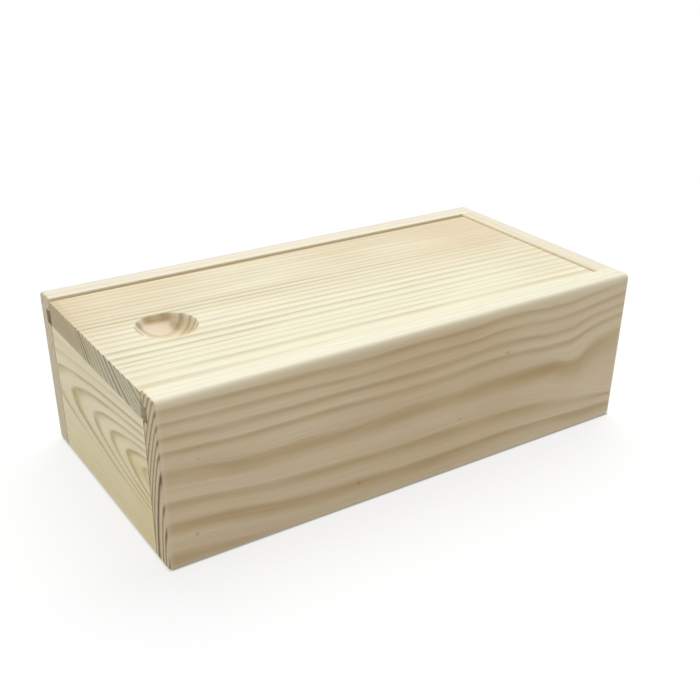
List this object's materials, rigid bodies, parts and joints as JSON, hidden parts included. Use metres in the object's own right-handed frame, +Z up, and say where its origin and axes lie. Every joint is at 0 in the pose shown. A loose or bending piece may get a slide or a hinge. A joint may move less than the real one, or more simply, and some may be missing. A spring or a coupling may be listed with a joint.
{
  "type": "sliding lid box",
  "caption": "Small pine box for papers and keepsakes. A tongued lid with a fingertip scoop slides in grooves, out over the low front wall.",
  "frame": {"origin": "middle of the underside of the closed box", "axes": "+X along the box towards its closed end, +Y across the box, +Z up; the lid is drawn out towards -X"},
  "size_m": [0.145, 0.075, 0.045],
  "materials": {
    "pine_walls": "bare pine, sanded, with fine growth rings",
    "pine_lid": "bare pine, sanded, close straight grain along the lid",
    "plywood_bottom": "thin plywood, bare, sanded"
  },
  "bodies": {
    "box": {"side_wall_left": "pine_walls", "side_wall_right": "pine_walls", "front_wall": "pine_walls", "back_wall": "pine_walls", "bottom_panel": "plywood_bottom"},
    "lid": {"sliding_lid": "pine_lid"}
  },
  "joints": [
    {"name": "lid_slide", "type": "slide", "parent": "box", "child": "lid", "axis": [-1, 0, 0], "range_m": [0, 0.13]}
  ]
}
